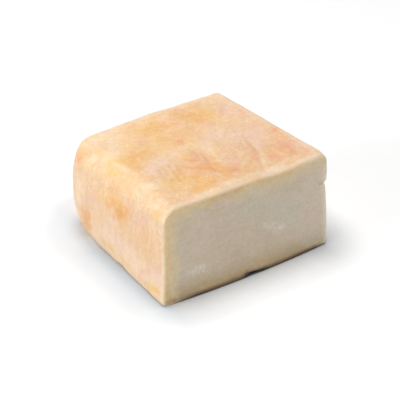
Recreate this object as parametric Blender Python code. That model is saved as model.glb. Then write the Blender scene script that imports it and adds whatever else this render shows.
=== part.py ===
"""A quarter of a soft square cheese with a washed rind, as cut from the whole loaf.

X runs from a rind side (-X) to a cut side (+X), and Y from a cut side (-Y) to a rind side (+Y), with Z up.
The two rind sides meet in the loaf's rounded corner, and the top rolls over into them with a soft shoulder.
The underside is flat, so the piece rests on it. Sizes are in metres.
"""
import math

import bmesh
import bpy
import numpy as np
from mathutils import Vector, noise

# The cut piece
WIDTH = 0.095
DEPTH = 0.094
HEIGHT = 0.054

# Rounding of the rind
CORNER_RADIUS = 0.0177
SHOULDER = 0.0100
SHOULDER_LOSS_AT_CORNER = 0.0085
SHOULDER_LOSS_REACH = 0.014
SHOULDER_BACK_END = 0.0075
SHOULDER_FRONT_END = 0.0080
FOOT_RADIUS = 0.0026
FOOT_GAIN_AT_CORNER = 0.0016
FOOT_NICK_PLACE = 0.0535
FOOT_NICK_HALF_WIDTH = 0.0045
FOOT_NICK = 0.0026

# Swelling of the rind sides: most by the loaf's corner, little where the sides were cut
BULGE = 0.0052
BULGE_SHARE_AT_CUT = 0.08
BULGE_SKEW = 0.45
BULGE_REACH = 0.0285
FOOT_FLARE = 0.0026
LOW_CORNER_FULLNESS = 0.0020
LOW_CORNER_SHARE_UP = 0.21
LOW_CORNER_HALF_SHARE = 0.15

# Unevenness of the top
CORNER_DROP = 0.0041
CORNER_DROP_REACH = 0.024
RIM_DIP = 0.0009
RIM_DIP_PLACE = 0.069
RIM_DIP_HALF_WIDTH = 0.009
RIM_DIP_REACH = 0.014
RIM_SAG = 0.0008
RIM_SAG_PLACE = 0.017
RIM_SAG_HALF_WIDTH = 0.014
RIM_SAG_REACH = 0.020
SIDE_RIM_RISE = 0.0008
CUT_CORNER_RISE = 0.0011
CUT_CORNER_ROUNDING = 0.0011
CUT_CORNER_ROUNDING_REACH = 0.0025

# Cut sides: their slant and how far the soft paste sags out at the foot
FRONT_SLANT = 0.0016
FRONT_LEAN = 0.0009
FRONT_SAG = 0.0021
SIDE_SLANT = 0.0026
SIDE_LEAN = 0.0031
SIDE_SAG = 0.0010

# The edge between the two cut sides: a small lip left by the knife, and the notch that breaks it
EDGE_ROUNDING = 0.0016
LIP = 0.0016
LIP_FULLNESS = 1.12
LIP_LOSS_AT_TOP = 0.65
LIP_REACH = 0.011
NOTCH_PLACE = 0.0383
NOTCH_DEPTH = 0.0008
NOTCH_STEP = 0.0006
NOTCH_FALL = 0.0008
NOTCH_RECOVERY = 0.018

# The foot: its rim doesn't quite reach the ground, least under the front cut, which has a small hollow
HOLLOW_PLACE = 0.0468
HOLLOW_STEEP_HALF_WIDTH = 0.0016
HOLLOW_LONG_HALF_WIDTH = 0.0060
HOLLOW_HEIGHT = 0.0020
FRONT_LIFT = 0.0002
FOOT_LIFT = 0.0004
FOOT_LIFT_LEAST = 0.00015
FOOT_LIFT_REACH = 0.007
FOOT_LIFT_HEIGHT = 0.009
FOOT_WAVE = 0.0006

# Hand-made unevenness of the rind and of the cut
RIND_RELIEF = 0.00045
RIND_RELIEF_SIZE = 0.024
RIND_FINE_RELIEF = 0.00022
RIND_FINE_SIZE = 0.0105
RIND_RELIEF_DEPTH = 0.008
CUT_RELIEF = 0.00022
CUT_RELIEF_SIZE = 0.016
FOOT_WAVE_SIZE = 0.012

# Spacing of the mesh: close where the rind is rounded, wider where it is nearly flat
RIM_SPACING = 0.0012
ROUND_SPACING = 0.0018
FLAT_SPACING = 0.0036

NAME = "taleggio_quarter"
COLOUR = (0.896, 0.610, 0.376)
ROUGHNESS = 0.6
SHARP_ANGLE = math.radians(38)
TINY = 1e-9


def clear_scene():
    for thing in list(bpy.data.objects):
        bpy.data.objects.remove(thing)


def evenly(start, end, spacing):
    """Places between start and end, about one spacing apart, without the two ends."""
    cells = max(1, round((end - start) / spacing))
    return [start + (end - start) * i / cells for i in range(1, cells)]


def stations_in(length, extra=()):
    """Where the blank is sliced, counted inwards from a rind side, and at some extra places too."""
    rim = length - EDGE_ROUNDING
    ends = [CORNER_RADIUS, *extra, rim]
    round_part = evenly(RIM_SPACING, CORNER_RADIUS, ROUND_SPACING)
    flat_part = []
    for start, end in zip(ends, ends[1:]):
        flat_part += [start] + evenly(start, end, FLAT_SPACING)
    return [RIM_SPACING] + round_part + flat_part + [rim]


def stations_up():
    """Where the blank is sliced, counted up from the ground."""
    foot = FOOT_RADIUS + RIM_SPACING
    shoulder = HEIGHT - SHOULDER
    notch = [NOTCH_PLACE + NOTCH_STEP * step for step in (-2, -1, 0, 1, 2)]
    tucked = evenly(RIM_SPACING, foot, ROUND_SPACING)
    below = evenly(foot, notch[0], FLAT_SPACING)
    above = [shoulder] + evenly(shoulder, HEIGHT - RIM_SPACING, ROUND_SPACING)
    feet = [RIM_SPACING] + tucked + [foot]
    return feet + below + notch + above + [HEIGHT - RIM_SPACING]


def sliced_block():
    """A block of the piece's size on the ground, sliced into a grid of four-sided faces."""
    bm = bmesh.new()
    bmesh.ops.create_cube(bm, size=1.0)
    bmesh.ops.scale(bm, vec=(WIDTH, DEPTH, HEIGHT), verts=bm.verts)
    bmesh.ops.translate(bm, vec=(0.0, 0.0, HEIGHT / 2), verts=bm.verts)
    at_hollow = [HOLLOW_PLACE + HOLLOW_STEEP_HALF_WIDTH * step for step in (-2, -1, 0, 1, 2)]
    cuts = [((place - WIDTH / 2, 0.0, 0.0), (1, 0, 0)) for place in stations_in(WIDTH, at_hollow)]
    cuts += [((0.0, DEPTH / 2 - place, 0.0), (0, 1, 0)) for place in stations_in(DEPTH)]
    cuts += [((0.0, 0.0, place), (0, 0, 1)) for place in stations_up()]
    for point, direction in cuts:
        geometry = bm.verts[:] + bm.edges[:] + bm.faces[:]
        bmesh.ops.bisect_plane(bm, geom=geometry, plane_co=point, plane_no=direction)
    return bm


def noise_at(points, size, layer):
    """Smooth noise from about -1 to 1 at each point, with lumps of the given size. Layers differ."""
    offset = Vector((layer * 7.31, layer * 3.17, layer * 5.73))
    return np.array([noise.noise(Vector(p) / size + offset) for p in points])


def rounded(u, v):
    """Turns the corner of a square into a quarter circle. u and v are 0 inside, and grow to the corner."""
    far = np.maximum(u, v)
    reach = np.maximum(np.hypot(u, v), TINY)
    return u * far / reach, v * far / reach


def hump(distance, half_width):
    """1 at distance 0, falling smoothly to nothing at about twice the half width."""
    return np.exp(-((distance / half_width) ** 2))


def plan_form(in_x, in_y):
    """Rounds the loaf's corner in plan.

    in_x and in_y are the distances inwards from the two rind sides. Gives their new values, the depth inside
    the rind, and the direction out of it along each of the two distances.
    """
    u = np.maximum(CORNER_RADIUS - in_x, 0.0)
    v = np.maximum(CORNER_RADIUS - in_y, 0.0)
    in_corner = (u > 0) & (v > 0)
    new_u, new_v = rounded(u, v)
    reach = np.maximum(np.hypot(u, v), TINY)
    nearer_x = in_x < in_y
    out_x = np.where(in_corner, -u / reach, np.where(nearer_x, -1.0, 0.0))
    out_y = np.where(in_corner, -v / reach, np.where(nearer_x, 0.0, -1.0))
    depth = np.where(in_corner, CORNER_RADIUS - np.maximum(u, v), np.minimum(in_x, in_y))
    new_x = np.where(in_corner, CORNER_RADIUS - new_u, in_x)
    new_y = np.where(in_corner, CORNER_RADIUS - new_v, in_y)
    return new_x, new_y, depth, out_x, out_y


def edge_form(depth, from_edge, radius):
    """Rounds a long edge of the rind. Gives the new depth and the new distance from that edge."""
    u = np.maximum(radius - depth, 0.0)
    w = np.maximum(radius - from_edge, 0.0)
    in_edge = (u > 0) & (w > 0)
    new_u, new_w = rounded(u, w)
    new_depth = np.where(in_edge, radius - new_u, depth)
    new_from_edge = np.where(in_edge, radius - new_w, from_edge)
    return new_depth, new_from_edge


def rind_direction(depth, from_top):
    """How much the rind faces outwards and how much up, at each point: a smooth turn over the shoulder."""
    outwards = np.maximum(SHOULDER - depth, TINY)
    upwards = np.maximum(SHOULDER - from_top, TINY)
    length = np.hypot(outwards, upwards)
    return outwards / length, upwards / length


def rind_form(block):
    """The rounded and swollen rind. Gives the new distances in from the rind sides and the new height."""
    new_x, new_y, depth, out_x, out_y = plan_form(block.in_x, block.in_y)
    shoulder = SHOULDER + (SHOULDER_BACK_END - SHOULDER) * block.across * (1.0 - block.along)
    shoulder += (SHOULDER_FRONT_END - SHOULDER) * block.along ** 3 * (1.0 - block.across)
    shoulder -= SHOULDER_LOSS_AT_CORNER * hump(np.hypot(block.in_x, block.in_y), SHOULDER_LOSS_REACH)
    rolled, from_top = edge_form(depth, HEIGHT - block.z, shoulder)
    near_corner = 1.0 - np.where(out_x < out_y, block.along, block.across)
    foot = FOOT_RADIUS + FOOT_GAIN_AT_CORNER * near_corner ** 8
    foot += FOOT_NICK * hump(block.in_y - FOOT_NICK_PLACE, FOOT_NICK_HALF_WIDTH)
    tucked, z = edge_form(rolled, HEIGHT - from_top, foot)
    up = z / HEIGHT

    near_rind = np.clip(1.0 - depth / BULGE_REACH, 0.0, 1.0) ** 2
    share = BULGE_SHARE_AT_CUT + (1.0 - BULGE_SHARE_AT_CUT) * near_corner
    swell = BULGE * share * 4.0 * up * (1.0 - up) * (1.0 + BULGE_SKEW * (up - 0.5))
    flare = FOOT_FLARE * (1.0 - up) ** 3 * (1.0 - near_corner ** 2)
    flare += LOW_CORNER_FULLNESS * near_corner ** 8 * hump(up - LOW_CORNER_SHARE_UP, LOW_CORNER_HALF_SHARE)

    coarse = RIND_RELIEF * noise_at(block.points, RIND_RELIEF_SIZE, 1)
    fine = RIND_FINE_RELIEF * noise_at(block.points, RIND_FINE_SIZE, 2)
    skin = np.clip(1.0 - np.minimum(depth, from_top) / RIND_RELIEF_DEPTH, 0.0, 1.0)
    relief = (coarse + fine) * skin * np.clip(z / FOOT_LIFT_HEIGHT, 0.0, 1.0)
    outwards, upwards = rind_direction(depth, HEIGHT - block.z)
    near_ground = np.clip(1.0 - z / FOOT_LIFT_HEIGHT, 0.0, 1.0)
    sway = FOOT_WAVE * noise_at(block.points, FOOT_WAVE_SIZE, 5) * near_ground

    push = depth - tucked + (swell + flare + sway) * near_rind + relief * outwards
    return new_x + out_x * push, new_y + out_y * push, z + relief * upwards, depth


def top_form(block):
    """How much the top rises. It falls to the loaf's corner, dips in front and rises at the side cut."""
    to_front, to_side = DEPTH - block.in_y, WIDTH - block.in_x
    drop = CORNER_DROP * hump(np.hypot(block.in_x, block.in_y), CORNER_DROP_REACH)
    dip = RIM_DIP * hump(block.in_x - RIM_DIP_PLACE, RIM_DIP_HALF_WIDTH) * hump(to_front, RIM_DIP_REACH)
    sag = RIM_SAG * hump(block.in_x - RIM_SAG_PLACE, RIM_SAG_HALF_WIDTH) * hump(to_front, RIM_SAG_REACH)
    between_ends = 1.0 - (2.0 * block.along - 1.0) ** 8
    rise = (CUT_CORNER_RISE * block.along + SIDE_RIM_RISE * between_ends) * block.across ** 6
    worn = CUT_CORNER_ROUNDING * hump(np.hypot(to_front, to_side), CUT_CORNER_ROUNDING_REACH)
    return rise - drop - dip - sag - worn


def cut_form(block, z):
    """How far the two cut sides stand out, at every point between them and the rind sides."""
    up = z / HEIGHT
    across, along = block.across, block.along
    sag = 4.0 * (1.0 - up) ** 2
    front = FRONT_SLANT * (across - 0.5) - FRONT_LEAN * (up - 0.5) + FRONT_SAG * across * (1.0 - across) * sag
    side = SIDE_SLANT * (along - 0.5) - SIDE_LEAN * (up - 0.5) + SIDE_SAG * along * (1.0 - along) * sag
    relief = CUT_RELIEF * noise_at(block.points, CUT_RELIEF_SIZE, 3)
    near_ground = np.clip(1.0 - z / FOOT_LIFT_HEIGHT, 0.0, 1.0)
    sway = FOOT_WAVE * noise_at(block.points, FOOT_WAVE_SIZE, 5) * near_ground
    side = side * across + np.where(block.on_side, relief, 0.0)
    front = front * along + np.where(block.on_front, relief + sway, 0.0)
    return side, front


def edge_between_cuts(block):
    """The lip along the edge between the cut sides, with its notch, and the rounding of that edge."""
    above = np.maximum(block.z - NOTCH_PLACE, 0.0)
    below = np.maximum(NOTCH_PLACE - block.z, 0.0)
    upper = LIP_FULLNESS * (1.0 - np.exp(-above / NOTCH_FALL))
    upper *= 1.0 - LIP_LOSS_AT_TOP * (above / (HEIGHT - NOTCH_PLACE)) ** 8
    lower = np.sqrt(np.minimum(below / NOTCH_RECOVERY, 1.0))
    lip = LIP * (upper + lower) - NOTCH_DEPTH * hump(block.z - NOTCH_PLACE, NOTCH_STEP)
    lip *= hump(DEPTH - block.in_y, LIP_REACH)
    rounding = np.where(block.on_front & block.on_side, EDGE_ROUNDING * (1.0 - math.sqrt(0.5)), 0.0)
    return lip * block.across ** 8 - rounding, -rounding


def foot_form(block, depth):
    """How much the underside's rim lifts off the ground: low waves, more at the front, and a hollow there."""
    to_front, to_side = DEPTH - block.in_y, WIDTH - block.in_x
    to_edge = np.minimum(np.minimum(to_front, to_side), depth)
    wave = np.clip(0.5 + noise_at(block.points, FOOT_WAVE_SIZE, 4), 0.0, 1.0)
    rim = np.clip(1.0 - to_edge / FOOT_LIFT_REACH, 0.0, 1.0) ** 2
    past = block.in_x - HOLLOW_PLACE
    half_width = np.where(past < 0, HOLLOW_STEEP_HALF_WIDTH, HOLLOW_LONG_HALF_WIDTH)
    hollow = HOLLOW_HEIGHT * hump(past, half_width)
    front = (FRONT_LIFT + hollow) * np.clip(1.0 - to_front / FOOT_LIFT_REACH, 0.0, 1.0)
    return (FOOT_LIFT_LEAST + FOOT_LIFT * wave) * rim + front


class Block:
    """The points of the plain block, and where each lies in it."""

    def __init__(self, points):
        self.points = points
        self.in_x = points[:, 0] + WIDTH / 2
        self.in_y = DEPTH / 2 - points[:, 1]
        self.z = points[:, 2]
        self.across = self.in_x / WIDTH
        self.along = self.in_y / DEPTH
        self.on_front = self.in_y > DEPTH - TINY
        self.on_side = self.in_x > WIDTH - TINY


def shape(points):
    """The form of the piece, from the points of the plain block."""
    block = Block(points)
    new_x, new_y, z, depth = rind_form(block)
    cut_x, cut_y = cut_form(block, z)
    edge_x, edge_y = edge_between_cuts(block)
    z = z + top_form(block) * z / HEIGHT
    near_ground = np.clip(1.0 - z / FOOT_LIFT_HEIGHT, 0.0, 1.0) ** 2
    z = z + foot_form(block, depth) * near_ground
    x = new_x + cut_x + edge_x - WIDTH / 2
    y = DEPTH / 2 - (new_y + cut_y + edge_y)
    return np.column_stack((x, y, z))


def stood_at_origin(points):
    """Moves the points so that the middle of their box, at its foot, is the origin."""
    low, high = points.min(axis=0), points.max(axis=0)
    middle = (low + high) / 2
    return points - np.array((middle[0], middle[1], low[2]))


def cheese_material():
    material = bpy.data.materials.new("cheese")
    material.use_nodes = True
    shader = material.node_tree.nodes["Principled BSDF"]
    shader.inputs["Base Color"].default_value = (*COLOUR, 1.0)
    shader.inputs["Roughness"].default_value = ROUGHNESS
    shader.inputs["Metallic"].default_value = 0.0
    return material


def cheese():
    bm = sliced_block()
    plain = np.array([vert.co for vert in bm.verts])
    for vert, place in zip(bm.verts, stood_at_origin(shape(plain))):
        vert.co = place
    bmesh.ops.triangulate(bm, faces=bm.faces, quad_method="BEAUTY")
    mesh = bpy.data.meshes.new(NAME)
    bm.to_mesh(mesh)
    bm.free()
    mesh.shade_smooth()
    mesh.set_sharp_from_angle(angle=SHARP_ANGLE)
    mesh.materials.append(cheese_material())
    return bpy.data.objects.new(NAME, mesh)


def main():
    clear_scene()
    collection = bpy.data.collections.new("taleggio")
    bpy.context.scene.collection.children.link(collection)
    collection.objects.link(cheese())


main()
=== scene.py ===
"""The looks of a quarter of washed-rind cheese: its rind, its cut paste, a white floor and soft light."""

import math

import bmesh
import bpy
import numpy as np
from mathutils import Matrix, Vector, noise
from mathutils.kdtree import KDTree


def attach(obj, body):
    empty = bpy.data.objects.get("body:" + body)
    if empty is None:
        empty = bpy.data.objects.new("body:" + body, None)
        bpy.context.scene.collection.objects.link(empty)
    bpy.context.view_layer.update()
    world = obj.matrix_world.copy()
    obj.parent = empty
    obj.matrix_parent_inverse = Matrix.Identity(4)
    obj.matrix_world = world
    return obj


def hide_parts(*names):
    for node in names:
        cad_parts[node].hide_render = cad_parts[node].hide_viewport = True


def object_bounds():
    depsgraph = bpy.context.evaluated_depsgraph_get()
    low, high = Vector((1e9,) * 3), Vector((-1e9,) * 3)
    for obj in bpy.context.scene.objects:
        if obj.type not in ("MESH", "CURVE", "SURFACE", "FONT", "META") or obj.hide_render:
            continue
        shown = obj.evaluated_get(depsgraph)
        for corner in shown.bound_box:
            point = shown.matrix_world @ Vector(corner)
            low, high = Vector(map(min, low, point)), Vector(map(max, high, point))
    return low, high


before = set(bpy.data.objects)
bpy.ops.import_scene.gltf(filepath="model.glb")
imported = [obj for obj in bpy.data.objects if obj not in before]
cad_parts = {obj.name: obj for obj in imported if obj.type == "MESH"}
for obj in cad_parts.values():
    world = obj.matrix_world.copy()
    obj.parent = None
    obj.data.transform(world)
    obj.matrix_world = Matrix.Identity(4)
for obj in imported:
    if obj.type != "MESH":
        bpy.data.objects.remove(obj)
cad_low, cad_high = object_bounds()

MM = 0.001

NODE = "taleggio_quarter"
PIECE = "taleggio"

# Camera: where the photo was taken from, in metres, with its lens and sensor in millimetres
VIEW_AZIMUTH = math.radians(-34.382)
VIEW_ELEVATION = math.radians(31.646)
VIEW_DISTANCE = 0.570
VIEW_TARGET = (0.00121, -0.00491, 0.02205)
NEAREST_SEEN = 0.01
FURTHEST_SEEN = 50
LENS = 98.03
SENSOR = 36.0

# Light
SKY = 0.209
LIGHTS = {
    # name: (direction it comes from, distance, width, power in watts)
    "overhead": ((-0.10, 0.04, 1.0), 2.2, 1.27, 41.2),
    "side": ((-0.97, 0.17, 0.18), 2.2, 1.35, 22.5),
}

# Floor: its size in metres, its colours as the share of the light that it gives back, with painted shade and
# a painted shadow by the cheese, and its painted light along the rind
FLOOR_SIZE = 8.0
FLOOR_ROUGHNESS = 0.9
FLOOR_WHITE = (0.985, 0.985, 0.985)
# Painted shade that greys the floor by the cheese, bluer beside the lit rind
FLOOR_PAINTED_SHADE = (0.66, 0.675, 0.69)
FLOOR_PAINTED_SHADE_BY_RIND = (0.20, 0.31, 0.42)
# Painted shadow on the floor right under the cut's foot
FLOOR_PAINTED_SHADOW_UNDER_CUT = (0.15, 0.10, 0.06)
# Painted light that the floor gives off along the rind, though it is no lamp
FLOOR_PAINTED_LIGHT = (0.205, 0.18, 0.155)

# Spans of the floor in millimetres, from where a change starts to where it is full
BY_RIND = (-40, -57)
BEHIND = (12, 28)
PAINTED_LIGHT_SPAN = (-38, -47)

# The floor's painted shade by the cheese: its reach in metres, and the power of the closeness, less for a
# wider shade
SHADE_REACH = 0.030
SHADE_SAMPLES = 8
SHADE_SPREAD = 0.30
SHADE_SPREAD_BY_RIND = 0.72
SHADE_SPREAD_BEHIND = 0.65

# Where the floor's painted shade is fainter or stronger: axis, span, and factor past the span
SHADE_FACTORS = [
    ("Y", BEHIND, 0.38),
    ("X", (-57, -46), 1.3),
    ("X", (-36, -8), 0.58),
    ("X", (34, 54), 2.4),
]

# How close to the cheese, 0 to 1, the floor's painted shadow under the cut starts, white instead by the rind,
# and how much closer it is full
UNDER_START = 0.74
UNDER_START_BY_RIND = 0.50
UNDER_WIDTH = 0.18

# How close to the cheese the painted light on the floor along the rind starts and is full, and its factor
# behind
PAINTED_LIGHT_CLOSENESS = (0.50, 0.62)
PAINTED_LIGHT_FACTOR_BEHIND = 1.5

# Mesh
SMOOTHING_ROUNDS = 2

# Mesh, in metres: how far from the top and the foot a level surface is rind, how high the rim's foot is,
# how far from the edge between the cuts that edge is looked for and kept, and where the relief fades out
WELD = 1e-6
LEVEL_RIND_REACH = 0.010
RIM_FOOT = 0.0035
EDGE_SEARCH = 0.010
EDGE_KEPT = 0.008
RELIEF_FADES_BY_FOOT = (0.0003, 0.0025)

# Relief in millimetres
MEAN_DEPTH = 0.17
WRINKLE_DEPTH = 0.22
CRACKLE_DEPTH = 0.13
CRACKLE_LINES = (0.86, 1.0)
STREAK_DEPTH = 0.09
DRAG_DEPTH = 0.05
SWELL_DEPTH = 0.16
CREASE_DEPTH = 0.08
CREASE_HALF_WIDTH = 0.9
RIM_ROUNDING = 0.35
RIM_ROUNDING_REACH = 1.8
RIND_TO_CUT_RELIEF = (-0.8, 1.6)

# How far each layer of lumps lies from the one before, in sizes of its lumps
LAYER_STEP = (17.3, 9.1, 31.7)

# Lumps in the relief and the marks: size in millimetres, squeeze in x, y and z, less than 1 where they are
# drawn out, and layer
LUMPS = {
    "mark": (7, (1, 1, 1), 1),
    "wrinkle": (8.5, (1, 1, 1), 2),
    "crackle": (5.5, (1, 1, 0.5), 3),
    "streak": (2.4, (1, 1, 0.1), 4),
    "drag": (2.6, (0.12, 0.12, 1), 5),
    "swell": (14, (1, 1, 1), 6),
    "mark_edge": (2.8, (1, 1, 1), 7),
    "crease": (5, (1, 1, 1), 8),
}

# How far a shift of 1 moves a noise, in sizes of its lumps
SHIFT_STEP = (1, 1.7, 0.6)

# Noise in the colours and the bumps: size in millimetres, and how it is made
NOISES = {
    "broken": dict(size=3.2, detail=3, roughness=0.6, warp=0.5),
    "bits": dict(size=0.9, detail=3, roughness=0.7, stretch=(1.8, 1.8, 0.7), shift=17),
    "broad": dict(size=15, detail=3, roughness=0.55, warp=0.8),
    "medium": dict(size=5, detail=3, roughness=0.6, warp=0.6, shift=7),
    "fine": dict(size=1.5, detail=3, roughness=0.6, shift=3),
    "light_vein": dict(size=6.5, detail=4, roughness=0.62, warp=1.4, shift=21),
    "warm_vein": dict(size=8, detail=4, roughness=0.62, warp=1.4, shift=23),
    "streaks": dict(size=3.2, detail=3, roughness=0.55, warp=0.3, stretch=(1, 1, 7), shift=13),
    "patches": dict(size=4.5, detail=3, roughness=0.6, warp=0.8, shift=31),
    "smudges": dict(size=20, detail=3, roughness=0.5, warp=0.6, shift=11),
    "band_width": dict(size=16, detail=2, roughness=0.5, shift=5),
    "drags": dict(size=1.9, detail=3, roughness=0.6, warp=0.5, stretch=(2.6, 2.6, 1), shift=27),
    "grain": dict(size=0.7, detail=3, roughness=0.65, shift=2),
    "pits": dict(size=2.2, detail=2, roughness=0.5, shift=9),
    "knife_lines": dict(size=0.8, detail=2, roughness=0.5, stretch=(9, 9, 1), shift=4),
}

# Colours as a screen shows them, 0 to 255, and how much stronger the light is than that needs
LIGHT_EXCESS = 1.10
TOP_RIND = (245, 206, 164)
SIDE_RIND = (241, 207, 171)
SHOULDER_RIND = (243, 209, 167)
# Painted light: paler rind low down, where it faces the shaded floor
LOW_RIND_PAINTED_LIGHT = (252, 223, 193)
# Browner foot of the rind, partly painted contact shade
RIND_FOOT_AND_PAINTED_SHADE = (232, 192, 144)
MOTTLE_WARM = (243, 195, 139)
MOTTLE_LIGHT = (250, 222, 188)
VEIN_LIGHT = (252, 226, 198)
VEIN_WARM = (238, 184, 136)
RIND_TINTS = {
    "gold": (248, 205, 127),
    "orange": (243, 181, 110),
    "red": (238, 172, 134),
    "pink": (242, 192, 170),
    "rose": (248, 216, 196),
    "pale": (253, 231, 202),
    "amber": (230, 166, 92),
    "cream": (246, 225, 197),
}
# Painted shade in the creases of the top rind
CREASE_PAINTED_SHADE = (222, 168, 122)
PASTE = (236, 219, 196)
PASTE_WARM = (232, 212, 182)
PASTE_FOOT = (218, 193, 148)
# Pale rim of the rind by the cut: the rind's cut edge, with a painted highlight on its rounding
RIM_PALE_AND_HIGHLIGHT_TOP = (240, 215, 185)
RIM_PALE_AND_HIGHLIGHT_SIDE = (249, 227, 193)
# Tan band under the rind, bright enough to also stand in for light through the lit left edge
RIM_TAN_AND_PAINTED_LIGHT = (255, 223, 171)
RIM_OLIVE = (246, 226, 186)
# Painted highlight along the rounded edge between the two cuts
EDGE_PAINTED_HIGHLIGHT = (250, 235, 210)
# Browner foot of the cut, darkened further as painted contact shade
CUT_FOOT_AND_PAINTED_SHADE = (124, 86, 54)
CUT_TINTS = {
    "fleck": (255, 248, 236),
    "ochre": (240, 204, 148),
    "rust": (196, 138, 92),
    "ash": (226, 220, 200),
    "blush": (238, 214, 198),
    "dim": (222, 204, 178),
    "cream": (252, 234, 202),
}
# Painted shadow: near-black where the hollow under the cut's foot is in shade
PAINTED_SHADOW = (42, 28, 18)

# How the rind's colour varies: noise or span in millimetres, and the strength or tone that it gives
TOP_TONE_BACKWARDS = ((-45, 45), (0.955, 1.085))
TOP_TONE_LEFTWARDS = ((40, -42), (0.965, 1.04))
MOTTLES = [
    ("broad", (0.48, 0.78), 0.45, MOTTLE_WARM),
    ("medium", (0.52, 0.75), 0.45, MOTTLE_LIGHT),
    ("medium", (0.46, 0.25), 0.35, MOTTLE_WARM),
]
VEINS = {"light_vein": VEIN_LIGHT, "warm_vein": VEIN_WARM}
VEIN_HALF_WIDTH = 0.045
VEIN_STRENGTH = 0.45
# Painted light low on the rind: the span in height, and how strongly it pales and lightens
LOW_DOWN = (24, 6)
LOW_STRENGTH = 0.6
LOW_PAINTED_LIGHT_TONE = 1.06
CREASE_STRENGTH = 0.65
RIND_TONES = [("streaks", (0.3, 0.7), (0.965, 1.03)), ("fine", (0.25, 0.75), (0.957, 1.031))]
# Height of the rind's browner foot, partly painted contact shade
RIND_FOOT_HEIGHT = (0.9, 0.3)

# How the paste's colour varies, in the same way
SMUDGES = ("smudges", (0.4, 0.7), (0, 0.7))
PASTE_FOOT_HEIGHT = (15, 2.0)
PASTE_FOOT_BY_EDGE = ((28, 47), (1.0, 0.45))
PASTE_TONE_BY_EDGE = ((25, 46), (1.0, 1.05))
BAND_WIDTH = ("band_width", (0.3, 0.7), (0.75, 1.25))
# The olive and tan bands under the rind; the tan band's brightness is partly painted light
BANDS = [((3.0, 13.0), RIM_OLIVE), ((1.0, 5.0), RIM_TAN_AND_PAINTED_LIGHT)]
PASTE_TONES = [("drags", (0.3, 0.7), (0.965, 1.035)), ("fine", (0.25, 0.75), (0.945, 1.045))]

# How the marks are broken up, where the rind pales by the rim, in part a painted highlight on its rounded
# edge, and where the paste begins, in millimetres
MARKS_BROKEN = ("broken", (0.30, 0.70), (0.45, 1.15))
FLECKS_BROKEN = ("bits", (0.45, 0.58), (0.15, 1.4))
PALE_BY_RIM = (-3.7, -0.3)
PALE_PATCHES = ("patches", (0.35, 0.58), (0.25, 1.0))
PASTE_BEGINS = (0.0, 1.4)

# Bumps in millimetres, and how the surface shines
RIND_GRAIN = 0.06
RIND_PITS = 0.07
PITS = ("pits", (0.30, 0.60))
CUT_GRAIN = 0.03
CUT_LINES = 0.05
CUT_BUMPS_BEGIN = (-0.3, 0.8)
ROUGHNESS = ("medium", (0.3, 0.7), (0.50, 0.64))
SPECULAR = 0.35
SUBSURFACE = 0.20
SUBSURFACE_RADIUS = (1.0, 0.6, 0.35)
SUBSURFACE_SCALE = 0.003

# How much more the front's marks show where it turns under
TUCKED_FACTOR = 4

# Where each part of the surface is, by the way it faces, from not at all to fully
FACES_TOP = (0.3, 0.6)
FACES_SIDE = (0.35, 0.6)
TUCKED_UNDER = (0.0, 0.3)
UPWARD = (0.35, 0.85)
SHOULDER_STARTS = (0.10, 0.45)
SHOULDER_ENDS = (0.80, 0.99)
CREASED_TOP = (0.5, 0.9)

# Where each part of the surface is, in metres
LEFT_END = (0.030, 0.040)
FOOT_TOP = (0.0010, 0.0038)
FOOT_OFF_LEFT = (-0.047, -0.030)
FOOT_OFF_BACK = (-0.047, -0.040)

# Where each part of the surface is, in millimetres from the rim or from the edge between the cuts
FOOT_FROM_RIM = (-4.0, -2.0)
FOOT_FROM_EDGE = (1, 9)
# Width of the painted highlight along the edge between the cuts
EDGE_WIDTH = (0.8, 3.8)

# How strong the browner foot of the cut is, which is partly painted contact shade, and how much narrower the
# bands of the cut are away from its left end and the pale rim of the rind, with its painted highlight, is at
# that end
FOOT_STRENGTH = 0.85
# The bands are wider at the lit left end, where they also stand in for light through the edge
BAND_NARROWING = 0.35
PALE_RIM_NARROWING = 0.45

# How ragged the marks and the creases are, and how fast a mark fades outwards
MARKS_RAGGED = 0.35
MARKS_RAGGED_FINELY = 0.25
MARK_FALL = 1.1
CREASE_LEAST = 0.75
CREASE_RAGGED = 0.5

# Where the marks below are measured from, in metres
MARKS_FROM = (-0.00056, 0.0, 0.0)

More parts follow.
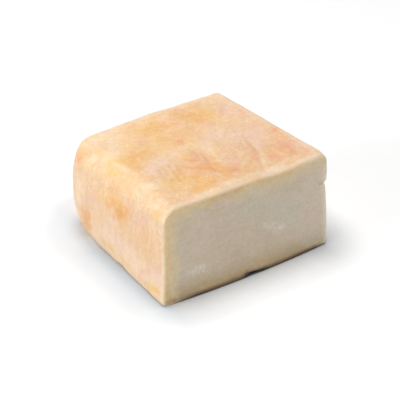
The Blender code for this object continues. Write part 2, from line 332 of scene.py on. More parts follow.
# Marks on the top rind, in millimetres: tint, both ends in x and y, radius, strength
TOP_MARKS = [
    ("gold", (-32, -2), (-24, 12), 14.0, 0.45),
    ("gold", (-14, 20), (-2, 4), 12.0, 0.45),
    ("gold", (-30, -26), (-20, -36), 8.0, 0.5),
    ("orange", (-8, -34), (2, -38), 5.0, 0.35),
    ("rose", (-24, -8), (-14, -4), 3.6, 0.7),
    ("rose", (-27, -16), (-20, -14), 2.2, 0.5),
    ("rose", (-16, -12), (-12, -18), 2.4, 0.5),
    ("gold", (-38, 5), (-37, 3), 5.0, 1.0),
    ("gold", (-41, 8), (-40, 6), 4.5, 1.0),
    ("gold", (-43, 10), (-41, 6), 3.0, 1.0),
    ("gold", (-44, 21), (-38, 18), 4.5, 0.5),
    ("gold", (-16, -3), (-10, -12), 4.5, 0.6),
    ("gold", (1, -12), (5, -10), 4.5, 0.6),
    ("orange", (-38, -1), (-36, -6), 3.5, 0.5),
    ("orange", (-34, 4), (-25, 6), 5.5, 0.6),
    ("gold", (-23, 6), (-20, 12), 4.0, 0.6),
    ("gold", (-18, 29), (-12, 27), 5.5, 0.6),
    ("gold", (-7, 25), (-4, 31), 4.0, 0.8),
    ("orange", (-9, 24), (4, 23), 6.5, 0.5),
    ("orange", (12, 30), (19, 21), 6.5, 0.7),
    ("gold", (17, 20), (24, 28), 3.5, 0.7),
    ("gold", (24, 24), (32, 31), 2.5, 0.4),
    ("gold", (-12, 3), (-6, 6), 3.5, 0.4),
    ("orange", (-10, 11), (8, 14), 7.0, 0.3),
    ("red", (-4, 5), (-5, 3), 2.6, 0.8),
    ("pink", (-20, 17), (-20, 15), 2.8, 0.6),
    ("pink", (38, 27), (32, 19), 1.8, 0.8),
    ("rose", (36, 16), (42, 30), 4.0, 0.4),
    ("red", (43, -13), (42, -15), 2.2, 1.0),
    ("pink", (42, 13), (39, 9), 3.0, 0.5),
    ("pink", (19, 12), (20, 10), 2.5, 0.5),
    ("rose", (2, -9), (9, -1), 4.5, 0.6),
    ("rose", (-32, -12), (-23, -6), 4.5, 0.9),
    ("rose", (15, -2), (29, -9), 8.5, 0.6),
    ("pink", (24, -22), (37, -3), 6.0, 0.5),
    ("pink", (13, -12), (17, -15), 2.6, 0.6),
    ("pink", (7, -23), (5, -29), 2.6, 0.7),
    ("red", (-5, -11), (-8, -15), 4.0, 0.7),
    ("pink", (-4, -18), (-5, -20), 2.2, 0.9),
    ("orange", (-14, -17), (-4, -25), 5.5, 0.9),
    ("red", (-12, -24), (-4, -30), 4.0, 0.35),
    ("orange", (-3, -28), (-1, -33), 4.5, 0.9),
    ("red", (2, -34), (6, -31), 2.8, 0.8),
    ("orange", (-17, -29), (-18, -33), 4.2, 0.6),
    ("gold", (-28, -28), (-23, -24), 4.2, 0.65),
    ("orange", (-22, -21), (-19, -17), 3.0, 0.5),
    ("orange", (-24, -39), (-12, -38), 3.6, 0.7),
    ("red", (26, -34), (28, -37), 2.6, 1.0),
    ("red", (38, -28), (35, -37), 3.6, 0.9),
    ("rose", (45, 14), (46, -2), 3.0, 0.6),
    ("rose", (46, -22), (45, -38), 3.0, 0.6),
    ("pink", (34, -26), (40, -26), 2.2, 0.7),
    ("red", (17, -31), (20, -26), 2.4, 0.7),
    ("orange", (30, -31), (41, -24), 6.0, 0.45),
    ("orange", (8, -36), (16, -40), 4.0, 0.5),
    ("red", (41, -41), (44, -39), 2.6, 0.5),
    ("pale", (27, -18), (21.5, -31), 1.5, 0.35),
    ("pale", (21.5, -31), (17, -39), 1.6, 0.45),
    ("pale", (17, -39), (15, -45), 1.8, 0.6),
    ("pale", (15, -43), (24, -43), 2.4, 0.7),
    ("pale", (5, -42), (11, -42), 1.6, 0.5),
    ("pale", (-9, -42), (-1, -43), 2.0, 0.7),
    ("pale", (-26, -43), (-16, -44), 2.2, 0.6),
    ("pale", (-8, -2), (0, 0), 1.1, 0.5),
    ("pale", (0, 0), (0, -5), 1.1, 0.4),
    ("pale", (5, -8), (1, -23), 1.1, 0.4),
    ("pale", (-42, 8), (-41, -5), 1.5, 0.6),
    ("pale", (-42, -36), (-42, -39), 1.6, 0.5),
    ("cream", (-40, -45), (-22, -45), 1.6, 0.6),
    ("pale", (-41, -22), (-37, -24), 3.6, 0.7),
    ("cream", (12, -44.5), (21, -44.5), 2.3, 0.8),
    ("cream", (33, -46), (46, -46), 1.6, 0.7),
    ("cream", (44, -44), (47, -38), 1.8, 0.5),
    ("gold", (26, 25), (24, 15), 3.0, 0.6),
    ("gold", (-34, 39), (-32, 33), 3.0, 0.7),
    ("gold", (-20, 7), (-21, 4), 2.5, 0.5),
    ("orange", (22, 37), (26, 35), 2.5, 0.5),
    ("orange", (13, 34), (15, 29), 3.0, 0.5),
    ("orange", (-2, 35), (2, 35), 2.5, 0.4),
    ("orange", (-16, 35), (-13, 35), 2.5, 0.5),
    ("pale", (-45, 23), (-45, 21), 1.8, 0.9),
    ("pale", (-38, 34), (-20, 42), 7.0, 0.7),
    ("pale", (-40, 14), (-30, 30), 6.0, 0.6),
    ("pale", (-12, 41), (44, 41), 5.0, 0.7),
    ("rose", (44, 20), (46, 38), 4.0, 0.6),
    ("pale", (34, 38), (44, 40), 6.0, 0.6),
    ("gold", (-46, 4), (-43, -4), 2.6, 0.5),
    ("orange", (-46, 35), (-46, 30), 3.6, 0.5),
]

# Creases in the top rind, in millimetres: the places that each runs through in x and y, and its strength
CREASES = [
    (((26, -8), (23.5, -17), (22, -24)), 0.9),
    (((22, -23), (21.3, -28)), 1.0),
    (((19, -31), (15.5, -38), (14, -44)), 0.6),
    (((26, 1), (24, -7), (22, -12)), 0.4),
    (((20, -14), (20, -22)), 0.4),
    (((12, -2), (10, -10), (8, -16)), 0.5),
    (((-2, -14), (-5, -23), (-6, -29)), 0.8),
    (((-28, -12), (-31, -23)), 0.5),
    (((-25, -12), (-28, -25)), 0.8),
    (((-22, -13), (-25, -27)), 0.9),
    (((-19, -14), (-22, -27)), 0.8),
    (((-5, -4), (-4, -9), (-5, -14)), 0.5),
    (((13, -14), (12, -20), (9, -28)), 0.5),
    (((-34, -16), (-36, -23)), 0.5),
    (((32, -25), (33, -32), (31, -39)), 0.5),
]

# Marks on the left rind, in millimetres: tint, both ends in y and z, radius, strength
LEFT_MARKS = [
    ("gold", (-8, 41), (-3, 39), 3.6, 0.9),
    ("orange", (-4, 38), (1, 34), 3.0, 0.9),
    ("amber", (-11, 37), (-9, 34), 2.4, 0.6),
    ("orange", (-12, 36), (-9, 34), 6.0, 1.0),
    ("orange", (23, 17), (26, 10), 5.4, 0.9),
    ("red", (22, 15), (25, 11), 2.6, 0.5),
    ("orange", (25, 9), (31, 4), 4.0, 0.6),
    ("red", (31, 46), (36, 45), 2.4, 0.7),
    ("pale", (29, 33), (29, 24), 4.0, 0.7),
    ("gold", (4, 39), (9, 33), 3.6, 0.5),
    ("gold", (-41, 48), (-38, 48), 2.4, 0.8),
    ("gold", (0, 51), (4, 50), 2.0, 0.7),
    ("orange", (-8, 46), (-2, 44), 2.6, 0.4),
    ("pale", (-38, 51), (-36, 51), 1.6, 0.5),
    ("pale", (20, 50), (23, 49), 1.9, 0.9),
    ("rose", (-46, 16), (-38, 14), 4.0, 0.6),
    ("pink", (-42, 19), (-28, 10), 2.2, 0.6),
    ("orange", (-34, 30), (-26, 27), 9.0, 0.35),
    ("pink", (-33, 44), (-26, 38), 3.2, 0.5),
    ("rose", (-18, 16), (2, 16), 7.0, 0.5),
    ("rose", (-6, 27), (-3, 26), 2.4, 0.6),
    ("pink", (12, 32), (28, 24), 3.0, 0.5),
    ("gold", (8, 28), (10, 19), 2.2, 0.4),
    ("gold", (-43, 7), (-36, 6), 2.4, 1.0),
    ("gold", (0, 8), (9, 8), 2.6, 1.0),
    ("gold", (-16, 7), (-10, 8), 2.2, 0.8),
    ("orange", (-33, 5), (-27, 6), 2.4, 0.5),
    ("gold", (26, 6), (32, 6), 2.2, 0.5),
]

# Marks on the front cut, in millimetres: tint, both ends in x and z, radius, strength
FRONT_MARKS = [
    ("ochre", (-22, 51), (-4, 52), 2.6, 0.7),
    ("ochre", (6, 52), (26, 51), 2.0, 0.4),
    ("blush", (-14, 46), (-9, 45), 2.6, 0.4),
    ("blush", (-18, 47.5), (-14, 48.5), 2.4, 0.8),
    ("ash", (2, 37), (30, 28), 8.0, 0.6),
    ("ash", (-38, 33), (-37, 20), 3.0, 0.4),
    ("blush", (38, 32), (41, 20), 4.5, 0.4),
    ("blush", (-24, 34), (-8, 32), 5.0, 0.4),
    ("fleck", (-29, 16), (-27, 16), 2.0, 0.9),
    ("fleck", (-34, 15), (-25, 14), 1.8, 0.55),
    ("fleck", (11, 26), (16, 24), 2.3, 0.75),
    ("fleck", (17, 22), (23, 21), 1.8, 0.65),
    ("ochre", (4, 8), (11, 7), 2.4, 0.4),
    ("ash", (36, 8), (41, 7), 2.2, 0.6),
    ("dim", (-14, 32), (-6, 14), 8.0, 0.5),
    ("dim", (9, 26), (14, 12), 6.0, 0.4),
    ("cream", (36, 53.5), (47, 53.5), 2.6, 0.8),
    ("rust", (45.6, 38.6), (47, 38.8), 0.8, 0.5),
    ("ochre", (-27, 4), (-24, 3), 1.6, 0.8),
    ("rust", (-10, 2.6), (-5, 3.4), 1.4, 0.4),
    ("ochre", (-48, 12), (-46, 3), 2.6, 0.7),
    ("rust", (-46, 2), (-43, 2), 1.5, 0.6),
    # Painted shadow in the hollow under the cut's foot and along that foot
    ("painted_shadow", (-0.4, 1.9), (3.0, 1.7), 2.1, 1.0),
    ("painted_shadow", (3.0, 1.5), (11, 0.6), 1.4, 0.9),
    ("painted_shadow", (-30, 0.5), (-24, 0.6), 0.9, 0.5),
    ("painted_shadow", (28, 0.5), (38, 0.6), 0.9, 0.4),
]

# Marks on the back rind, in millimetres: tint, both ends in x and z, radius, strength
BACK_MARKS = [
    ("orange", (-22, 33), (-16, 28), 5.0, 0.8),
    ("amber", (-19, 31), (-17, 29), 2.2, 0.5),
    ("gold", (6, 44), (14, 42), 3.4, 0.7),
    ("gold", (24, 12), (32, 8), 3.0, 0.6),
    ("orange", (34, 34), (38, 26), 4.0, 0.6),
    ("rose", (-4, 18), (14, 16), 6.0, 0.5),
    ("pink", (18, 30), (26, 24), 3.0, 0.5),
    ("gold", (-34, 10), (-28, 7), 2.6, 0.6),
    ("red", (-38, 20), (-36, 16), 2.2, 0.4),
    ("pale", (-6, 48), (4, 49), 2.4, 0.6),
]

# Marks on the side cut, in millimetres: tint, both ends in y and z, radius, strength
SIDE_MARKS = [
    ("fleck", (-14, 30), (-9, 28), 2.0, 0.6),
    ("fleck", (16, 18), (21, 17), 1.8, 0.5),
    ("ash", (-6, 36), (18, 30), 7.0, 0.5),
    ("dim", (0, 22), (6, 12), 7.0, 0.4),
    ("ochre", (-20, 50), (10, 51), 2.2, 0.5),
    ("blush", (24, 28), (30, 22), 4.5, 0.4),
]


def linear(colour):
    """A colour as a screen shows it, turned into the share of the light that a surface gives back."""
    shares = [value / 255 for value in colour]
    light = [s / 12.92 if s <= 0.04045 else ((s + 0.055) / 1.055) ** 2.4 for s in shares]
    return (*[value / LIGHT_EXCESS for value in light], 1.0)


def smooth(value, span):
    """0 before a span, 1 past it, with a soft start and end."""
    low, high = span
    share = np.clip((value - low) / (high - low), 0, 1)
    return share * share * (3 - 2 * share)


def add_camera():
    level = math.cos(VIEW_ELEVATION)
    back = Vector((math.sin(VIEW_AZIMUTH) * level, -math.cos(VIEW_AZIMUTH) * level, math.sin(VIEW_ELEVATION)))
    data = bpy.data.cameras.new("camera")
    data.sensor_width = SENSOR
    data.lens = LENS
    data.clip_start = NEAREST_SEEN
    data.clip_end = FURTHEST_SEEN
    camera = bpy.data.objects.new("camera", data)
    camera.location = Vector(VIEW_TARGET) + back * VIEW_DISTANCE
    camera.rotation_mode = "QUATERNION"
    camera.rotation_quaternion = back.to_track_quat("Z", "Y")
    bpy.context.scene.collection.objects.link(camera)
    bpy.context.scene.camera = camera


def add_light():
    scene = bpy.context.scene
    scene.view_settings.view_transform = "Standard"
    world = bpy.data.worlds.new("sky")
    world.use_nodes = True
    world.node_tree.nodes["Background"].inputs["Color"].default_value = (1, 1, 1, 1)
    world.node_tree.nodes["Background"].inputs["Strength"].default_value = SKY
    scene.world = world
    for name, (source, distance, width, power) in LIGHTS.items():
        data = bpy.data.lights.new(name, "AREA")
        data.shape = "DISK"
        data.size = width
        data.energy = power
        light = bpy.data.objects.new(name, data)
        direction = Vector(source).normalized()
        light.location = direction * distance
        light.rotation_mode = "QUATERNION"
        light.rotation_quaternion = direction.to_track_quat("Z", "Y")
        scene.collection.objects.link(light)


class Shades:
    """A material whose nodes are added and joined one by one. Its places are in millimetres."""

    def __init__(self, name):
        self.material = bpy.data.materials.new(name)
        self.material.use_nodes = True
        self.tree = self.material.node_tree
        self.shader = self.tree.nodes["Principled BSDF"]
        place = self.add("ShaderNodeTexCoord").outputs["Object"]
        self.place = self.vector("MULTIPLY", place, (1 / MM, 1 / MM, 1 / MM))
        self.along = self.add("ShaderNodeSeparateXYZ", {0: self.place}).outputs

    def add(self, kind, inputs=(), **settings):
        node = self.tree.nodes.new(kind)
        for name, value in settings.items():
            setattr(node, name, value)
        for key, value in dict(inputs).items():
            self.feed(node.inputs[key], value)
        return node

    def feed(self, socket, value):
        if isinstance(value, bpy.types.NodeSocket):
            self.tree.links.new(value, socket)
        else:
            socket.default_value = value

    def vector(self, operation, first, second):
        return self.add("ShaderNodeVectorMath", {0: first, 1: second}, operation=operation).outputs[0]

    def math(self, operation, first, second=0.0, clamp=False):
        node = self.add("ShaderNodeMath", {0: first, 1: second}, operation=operation, use_clamp=clamp)
        return node.outputs[0]

    def product(self, first, second):
        return self.math("MULTIPLY", first, second)

    def measured(self, name):
        """A value that the mesh holds at each of its points."""
        return self.add("ShaderNodeAttribute", attribute_name=name).outputs["Fac"]

    def noise(self, kind):
        return self.made_noise(**NOISES[kind])

    def made_noise(self, size, detail, roughness, warp=0.0, stretch=(1, 1, 1), shift=0.0):
        """Noise whose lumps are about one size across, drawn out by a stretch, and shifted to be its own."""
        place = self.vector("MULTIPLY_ADD", self.place, tuple(1 / (size * s) for s in stretch))
        place.node.inputs[2].default_value = tuple(shift * step for step in SHIFT_STEP)
        node = self.add("ShaderNodeTexNoise", {"Vector": place, "Scale": 1.0, "Detail": detail,
                                               "Roughness": roughness, "Distortion": warp})
        return node.outputs["Fac"]

    def spread(self, value, span, result=(0.0, 1.0)):
        """One result before a span of the value, the other past it, with a soft start and end."""
        node = self.add("ShaderNodeMapRange", {"Value": value, "From Min": span[0], "From Max": span[1],
                                               "To Min": result[0], "To Max": result[1]},
                        interpolation_type="SMOOTHSTEP")
        return node.outputs["Result"]

    def varied(self, kind, span, result=(0.0, 1.0)):
        return self.spread(self.noise(kind), span, result)

    def mix(self, share, first, second):
        """Two colours mixed. A colour of three numbers is as a screen shows it, and one of four is linear."""
        colours = [linear(c) if isinstance(c, tuple) and len(c) == 3 else c for c in (first, second)]
        # The node's colours are its sockets 6 and 7, and its output 2
        node = self.add("ShaderNodeMix", {0: share, 6: colours[0], 7: colours[1]}, data_type="RGBA")
        return node.outputs[2]

    def mix_numbers(self, share, first, second):
        # The node's numbers are its sockets 2 and 3
        return self.add("ShaderNodeMix", {0: share, 2: first, 3: second}).outputs[0]

    def toned(self, colour, brightness):
        node = self.add("ShaderNodeVectorMath", {0: colour, "Scale": brightness}, operation="SCALE")
        return node.outputs[0]

    def toned_by_noise(self, colour, tones):
        for kind, span, tone in tones:
            colour = self.toned(colour, self.varied(kind, span, tone))
        return colour

    def with_marks(self, colour, tints):
        """A colour under its marks, which noise breaks up: the flecks into fine bits, the others softly."""
        for name, tint in tints.items():
            broken = self.varied(*(FLECKS_BROKEN if name == "fleck" else MARKS_BROKEN))
            share = self.math("MULTIPLY", self.measured(name), broken, clamp=True)
            colour = self.mix(share, colour, tint)
        return colour


def floor_colour(shades, closeness):
    """White, greyed close to the cheese by painted shade, with a painted shadow right under its cut. By the
    lit rind the painted shade is bluer.
    """
    across, backwards = shades.along["X"], shades.along["Y"]
    white = (*FLOOR_WHITE, 1.0)
    by_rind = shades.spread(across, BY_RIND)
    # Painted shade: the floor greyed by its closeness to the cheese
    painted_shade = shades.mix(by_rind, (*FLOOR_PAINTED_SHADE, 1.0), (*FLOOR_PAINTED_SHADE_BY_RIND, 1.0))
    shade = closeness
    for axis, span, factor in SHADE_FACTORS:
        shade = shades.product(shade, shades.spread(shades.along[axis], span, (1.0, factor)))
    power = shades.spread(across, BY_RIND, (SHADE_SPREAD, SHADE_SPREAD_BY_RIND))
    power = shades.product(power, shades.spread(backwards, BEHIND, (1.0, SHADE_SPREAD_BEHIND)))
    colour = shades.mix(shades.math("POWER", shade, power), white, painted_shade)
    # Painted shadow on the floor right under the cut; by the rind the floor there is left white
    under = shades.mix(by_rind, (*FLOOR_PAINTED_SHADOW_UNDER_CUT, 1.0), white)
    starts = shades.spread(across, BY_RIND, (UNDER_START, UNDER_START_BY_RIND))
    ends = shades.math("ADD", starts, UNDER_WIDTH)
    return shades.mix(shades.spread(closeness, (starts, ends)), colour, under)


def painted_floor_light(shades, closeness):
    """How much painted light the floor gives off along the lit rind, which brightens the shade at the rind's
    foot.
    """
    across, backwards = shades.along["X"], shades.along["Y"]
    painted_light = shades.product(shades.spread(closeness, PAINTED_LIGHT_CLOSENESS), shades.spread(across, PAINTED_LIGHT_SPAN))
    return shades.product(painted_light, shades.spread(backwards, BEHIND, (1.0, PAINTED_LIGHT_FACTOR_BEHIND)))


def add_floor():
    bpy.ops.mesh.primitive_plane_add(size=FLOOR_SIZE)
    floor = bpy.context.active_object
    floor.name = "floor"
    shades = Shades("floor")
    inputs = shades.shader.inputs
    open_sky = shades.add("ShaderNodeAmbientOcclusion", {"Distance": SHADE_REACH}, samples=SHADE_SAMPLES)
    closeness = shades.math("SUBTRACT", 1.0, open_sky.outputs["AO"], clamp=True)
    shades.feed(inputs["Base Color"], floor_colour(shades, closeness))
    # The floor gives off painted light along the rind, though it is no lamp
    inputs["Emission Color"].default_value = (*FLOOR_PAINTED_LIGHT, 1.0)
    shades.feed(inputs["Emission Strength"], painted_floor_light(shades, closeness))
    inputs["Roughness"].default_value = FLOOR_ROUGHNESS
    inputs["Specular IOR Level"].default_value = 0.0
    floor.data.materials.append(shades.material)


def refined_mesh(node):
    """The solid's mesh as quads, smoothed and refined, with one face under it."""
    bm = bmesh.new()
    bm.from_mesh(node.data)
    bmesh.ops.remove_doubles(bm, verts=bm.verts, dist=WELD)
    underside = [face for face in bm.faces if max(v.co.z for v in face.verts) < WELD]
    bmesh.ops.dissolve_faces(bm, faces=underside, use_verts=False)
    triangles = [face for face in bm.faces if len(face.verts) == 3]
    bmesh.ops.join_triangles(bm, faces=triangles, angle_face_threshold=math.pi, angle_shape_threshold=math.pi)
    coarse = bpy.data.meshes.new(PIECE)
    bm.to_mesh(coarse)
    bm.free()
    holder = bpy.data.objects.new("holder", coarse)
    bpy.context.scene.collection.objects.link(holder)
    smoothing = holder.modifiers.new("smoothing", "SUBSURF")
    smoothing.levels = SMOOTHING_ROUNDS
    smoothing.render_levels = SMOOTHING_ROUNDS
    depsgraph = bpy.context.evaluated_depsgraph_get()
    fine = bpy.data.meshes.new_from_object(holder.evaluated_get(depsgraph))
    bpy.data.objects.remove(holder)
    fine.materials.clear()
    fine.shade_smooth()
    return fine


def vectors(items, name):
    """One vector of each item, as rows of three numbers."""
    flat = np.zeros(len(items) * 3, np.float32)
    items.foreach_get(name, flat)
    return flat.reshape(-1, 3).astype(float)


def crossings(mesh, points, share):
    """The places on the mesh's edges where a share of its points goes through 0."""
    ends = np.zeros(len(mesh.edges) * 2, np.int32)
    mesh.edges.foreach_get("vertices", ends)
    start, end = ends.reshape(-1, 2).T
    crosses = (share[start] > 0) != (share[end] > 0)
    start, end = start[crosses], end[crosses]
    along = (share[start] / (share[start] - share[end]))[:, None]
    return points[start] * (1 - along) + points[end] * along


def distance_to_chain(points, chain):
    """How far each point lies from the line through its two nearest places of a chain."""
    tree = KDTree(len(chain))
    for index, place in enumerate(chain):
        tree.insert(place, index)
    tree.balance()
    distance = np.zeros(len(points))
    for index, point in enumerate(points):
        (first, _, near), (second, _, _) = tree.find_n(point, 2)
        along = second - first
        if along.length_squared > 0:
            step = min(max((Vector(point) - first).dot(along) / along.length_squared, 0), 1)
            near = (Vector(point) - first - along * step).length
        distance[index] = near
    return distance


def by_cut_edge(places, reach):
    """Whether each place is within a reach of the upright edge between the two cuts."""
    return (places[:, 0] > cad_high[0] - reach) & (places[:, 1] < cad_low[1] + reach)


def cut_distances(mesh, points, facing):
    """How far each point lies from the rim of the cuts in millimetres, more than 0 on the cuts.

    Gives it twice, from the whole rim and from the rim without its part at the foot, and then how far each
    point lies from the edge between the two cuts.
    """
    front, right = -facing[:, 1], facing[:, 0]
    at_end = (points[:, 2] < LEVEL_RIND_REACH) | (points[:, 2] > cad_high[2] - LEVEL_RIND_REACH)
    level = np.where(at_end, np.abs(facing[:, 2]), 0)
    rind = np.max(np.c_[-facing[:, 0], facing[:, 1], level], axis=1)
    share = np.maximum(front, right) - rind
    rim = crossings(mesh, points, share)
    side = np.where(share > 0, 1, -1) / MM
    into_cut = distance_to_chain(points, rim) * side
    into_band = distance_to_chain(points, rim[rim[:, 2] > RIM_FOOT]) * side
    edge = crossings(mesh, points, np.where(by_cut_edge(points, EDGE_SEARCH), front - right, 1.0))
    edge = edge[by_cut_edge(edge, EDGE_KEPT)]
    return into_cut, into_band, distance_to_chain(points, edge) / MM


def lumps(points, kind):
    """One kind of lumps at each point, from -1 to 1."""
    size, squeeze, layer = LUMPS[kind]
    shift = Vector([step * layer for step in LAYER_STEP])
    scaled = points * squeeze / (size * MM)
    return np.array([noise.noise(Vector(place) + shift) for place in scaled])


def distance_to_line(flat, start, end):
    """How far each flat point lies from the line between two ends."""
    start, along = np.array(start, float), np.subtract(end, start).astype(float)
    share = np.clip((flat - start) @ along / (along @ along), 0, 1)
    return np.linalg.norm(flat - start - share[:, None] * along, axis=1)


def marked(points, facing):
    """How strongly each tint shows at each point, 0 to 1."""
    tints = {name: np.zeros(len(points)) for name in [*RIND_TINTS, *CUT_TINTS, "painted_shadow"]}
    mm = (points - MARKS_FROM) / MM
    ragged = 1 + MARKS_RAGGED * lumps(points, "mark") + MARKS_RAGGED_FINELY * lumps(points, "mark_edge")
    tucked = TUCKED_FACTOR * smooth(-facing[:, 2], TUCKED_UNDER)
    faces = [
        (TOP_MARKS, mm[:, [0, 1]], smooth(facing[:, 2], FACES_TOP)),
        (LEFT_MARKS, mm[:, [1, 2]], smooth(-facing[:, 0], FACES_SIDE)),
        (FRONT_MARKS, mm[:, [0, 2]], smooth(-facing[:, 1] * (1 + tucked), FACES_SIDE)),
        (BACK_MARKS, mm[:, [0, 2]], smooth(facing[:, 1], FACES_SIDE)),
        (SIDE_MARKS, mm[:, [1, 2]], smooth(facing[:, 0], FACES_SIDE)),
    ]
    for marks, flat, seen in faces:
        for tint, start, end, radius, strength in marks:
            reach = distance_to_line(flat, start, end) / (radius * ragged)
            tints[tint] = np.maximum(tints[tint], strength * seen * np.exp(-MARK_FALL * reach ** 2))
    return tints


def creased(points, facing):
    """How much of a crease each point lies in, 0 to 1."""
    flat = (points - MARKS_FROM)[:, :2] / MM
    depth = np.zeros(len(points))
    for places, strength in CREASES:
        for start, end in zip(places, places[1:]):
            reach = distance_to_line(flat, start, end) / CREASE_HALF_WIDTH
            depth = np.maximum(depth, strength * np.exp(-(reach ** 2)))
    ragged = CREASE_LEAST + CREASE_RAGGED * lumps(points, "crease")
    return depth * smooth(facing[:, 2], CREASED_TOP) * ragged


def relief(points, facing, into_cut, crease):
    """How deep each point lies under the smooth form: wrinkles and creases in the rind, drags on the cuts."""
    upright = 1 - np.abs(facing[:, 2])
    wrinkle, streak, drag, swell = (
        0.5 + 0.5 * lumps(points, kind) for kind in ("wrinkle", "streak", "drag", "swell")
    )
    crackle = smooth(1 - np.abs(lumps(points, "crackle")), CRACKLE_LINES)
    rind = WRINKLE_DEPTH * wrinkle + CRACKLE_DEPTH * crackle + STREAK_DEPTH * streak * upright
    cut = DRAG_DEPTH * drag + SWELL_DEPTH * swell
    depth = rind + (cut - rind) * smooth(into_cut, RIND_TO_CUT_RELIEF) + CREASE_DEPTH * crease
    depth += RIM_ROUNDING * np.clip(1 - np.abs(into_cut) / RIM_ROUNDING_REACH, 0, 1) ** 2
    return (depth - MEAN_DEPTH) * MM * smooth(points[:, 2], RELIEF_FADES_BY_FOOT)


def measures(mesh, points, facing):
    """The values that the material reads at each point."""
    into_cut, into_band, from_edge = cut_distances(mesh, points, facing)
    left = smooth(-points[:, 0], LEFT_END)
    in_foot = (1 - smooth(points[:, 2], FOOT_TOP)) * smooth(into_cut, FOOT_FROM_RIM)
    off_rind = smooth(points[:, 0], FOOT_OFF_LEFT) * smooth(-points[:, 1], FOOT_OFF_BACK)
    off_edge = smooth(from_edge, FOOT_FROM_EDGE)
    on_shoulder = smooth(facing[:, 2], SHOULDER_STARTS) * (1 - smooth(facing[:, 2], SHOULDER_ENDS))
    return {
        "into_cut": into_cut,
        "into_band": into_band * (1 + BAND_NARROWING * (1 - left)),
        "from_rim": into_cut * (1 + PALE_RIM_NARROWING * left),
        # The browner foot of the cut, partly painted contact shade
        "cut_foot_and_painted_shade": FOOT_STRENGTH * in_foot * off_rind * off_edge,
        "upward": smooth(facing[:, 2], UPWARD),
        "shoulder": on_shoulder,
        # Painted highlight along the edge between the cuts
        "cut_edge_highlight": 1 - smooth(from_edge, EDGE_WIDTH),
        "crease": creased(points, facing),
        **marked(points, facing),
    }


def rind_colour(shades):
    """Peach, lighter backwards and to the left on the top, mottled and veined, made paler low down by painted
    light, with painted shade in its creases and a browner foot that is partly painted contact shade.
    """
    backwards = shades.spread(shades.along["Y"], *TOP_TONE_BACKWARDS)
    leftwards = shades.spread(shades.along["X"], *TOP_TONE_LEFTWARDS)
    top = shades.toned(linear(TOP_RIND)[:3], shades.product(backwards, leftwards))
    colour = shades.mix(shades.measured("upward"), SIDE_RIND, top)
    colour = shades.mix(shades.measured("shoulder"), colour, SHOULDER_RIND)
    for kind, span, strength, mottle in MOTTLES:
        colour = shades.mix(shades.varied(kind, span, (0, strength)), colour, mottle)
    for kind, vein in VEINS.items():
        off_vein = shades.math("ABSOLUTE", shades.math("SUBTRACT", shades.noise(kind), 0.5))
        colour = shades.mix(shades.spread(off_vein, (VEIN_HALF_WIDTH, 0.0), (0, VEIN_STRENGTH)), colour, vein)
    height = shades.along["Z"]
    # Painted light: the rind paler and lighter low down
    colour = shades.mix(shades.spread(height, LOW_DOWN, (0, LOW_STRENGTH)), colour, LOW_RIND_PAINTED_LIGHT)
    colour = shades.toned(colour, shades.spread(height, LOW_DOWN, (1.0, LOW_PAINTED_LIGHT_TONE)))
    colour = shades.with_marks(colour, RIND_TINTS)
    # Painted shade in the creases
    colour = shades.mix(shades.product(shades.measured("crease"), CREASE_STRENGTH), colour, CREASE_PAINTED_SHADE)
    colour = shades.toned_by_noise(colour, RIND_TONES)
    # The rind's browner foot, partly painted contact shade
    return shades.mix(shades.spread(height, RIND_FOOT_HEIGHT), colour, RIND_FOOT_AND_PAINTED_SHADE)


def paste_colour(shades):
    """Pale and smudged, warmer at the foot, with a painted highlight along the edge between the cuts, and an
    olive and a tan band along the rim, the tan one partly painted light.
    """
    across, height = shades.along["X"], shades.along["Z"]
    colour = shades.mix(shades.varied(*SMUDGES), PASTE, PASTE_WARM)
    foot = shades.spread(height, PASTE_FOOT_HEIGHT)
    foot = shades.product(foot, shades.spread(across, *PASTE_FOOT_BY_EDGE))
    colour = shades.mix(foot, colour, PASTE_FOOT)
    # Painted highlight along the edge between the cuts
    colour = shades.mix(shades.measured("cut_edge_highlight"), colour, EDGE_PAINTED_HIGHLIGHT)
    colour = shades.toned(colour, shades.spread(across, *PASTE_TONE_BY_EDGE))
    depth = shades.math("DIVIDE", shades.measured("into_band"), shades.varied(*BAND_WIDTH))
    for span, band in BANDS:
        colour = shades.mix(shades.spread(depth, span), band, colour)
    colour = shades.with_marks(colour, CUT_TINTS)
    return shades.toned_by_noise(colour, PASTE_TONES)


def cheese_colour(shades):
    """The rind, paler by the rim with a painted highlight, then the paste, and over both the browner foot of
    the cut, partly painted shade, and the painted shadow under it.
    """
    # The pale rim: the rind's cut edge with a painted highlight
    pale = shades.spread(shades.measured("from_rim"), PALE_BY_RIM)
    pale = shades.product(pale, shades.varied(*PALE_PATCHES))
    rim = shades.mix(shades.measured("upward"), RIM_PALE_AND_HIGHLIGHT_SIDE, RIM_PALE_AND_HIGHLIGHT_TOP)
    colour = shades.mix(pale, rind_colour(shades), rim)
    in_cut = shades.spread(shades.measured("into_cut"), PASTE_BEGINS)
    colour = shades.mix(in_cut, colour, paste_colour(shades))
    # The cut's browner foot, with painted contact shade
    colour = shades.mix(shades.measured("cut_foot_and_painted_shade"), colour, CUT_FOOT_AND_PAINTED_SHADE)
    return shades.mix(shades.measured("painted_shadow"), colour, PAINTED_SHADOW)


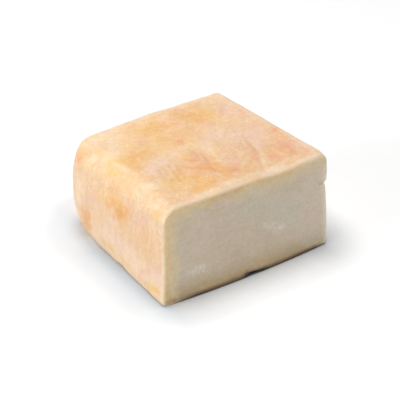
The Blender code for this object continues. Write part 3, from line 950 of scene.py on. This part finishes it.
def cheese_bumps(shades):
    """Fine grain all over, with pits in the rind and the knife's lines on the cuts."""
    grain = shades.noise("grain")
    pits = shades.product(shades.varied(*PITS), RIND_PITS)
    lines = shades.product(shades.noise("knife_lines"), CUT_LINES)
    on_rind = shades.math("ADD", shades.product(grain, RIND_GRAIN), pits)
    on_cut = shades.math("ADD", shades.product(grain, CUT_GRAIN), lines)
    into_cut = shades.spread(shades.measured("into_cut"), CUT_BUMPS_BEGIN)
    height = shades.mix_numbers(into_cut, on_rind, on_cut)
    return shades.add("ShaderNodeBump", {"Height": height, "Distance": MM, "Strength": 1.0}).outputs["Normal"]


def cheese_material():
    """One material for the rind and the paste, which the distance into the cut tells apart."""
    shades = Shades("cheese")
    inputs = shades.shader.inputs
    shades.feed(inputs["Base Color"], cheese_colour(shades))
    shades.feed(inputs["Normal"], cheese_bumps(shades))
    shades.feed(inputs["Roughness"], shades.varied(*ROUGHNESS))
    inputs["Specular IOR Level"].default_value = SPECULAR
    # Less subsurface light where the foot and the painted shadow are darker
    foot_and_painted_shadow = shades.math("MAXIMUM", shades.measured("cut_foot_and_painted_shade"), shades.measured("painted_shadow"))
    clean = shades.math("SUBTRACT", 1.0, foot_and_painted_shadow)
    shades.feed(inputs["Subsurface Weight"], shades.product(clean, SUBSURFACE))
    inputs["Subsurface Radius"].default_value = SUBSURFACE_RADIUS
    inputs["Subsurface Scale"].default_value = SUBSURFACE_SCALE
    return shades.material


def add_cheese():
    mesh = refined_mesh(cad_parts[NODE])
    points = vectors(mesh.vertices, "co")
    facing = vectors(mesh.vertex_normals, "vector")
    values = measures(mesh, points, facing)
    for name, value in values.items():
        mesh.attributes.new(name, "FLOAT", "POINT").data.foreach_set("value", value.astype(np.float32))
    points -= facing * relief(points, facing, values["into_cut"], values["crease"])[:, None]
    points = np.clip(points, cad_low, cad_high)
    mesh.vertices.foreach_set("co", points.astype(np.float32).ravel())
    mesh.update()
    mesh.materials.append(cheese_material())
    piece = bpy.data.objects.new(PIECE, mesh)
    bpy.context.scene.collection.objects.link(piece)
    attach(piece, "root")
    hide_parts(NODE)


add_camera()
add_light()
add_floor()
add_cheese()
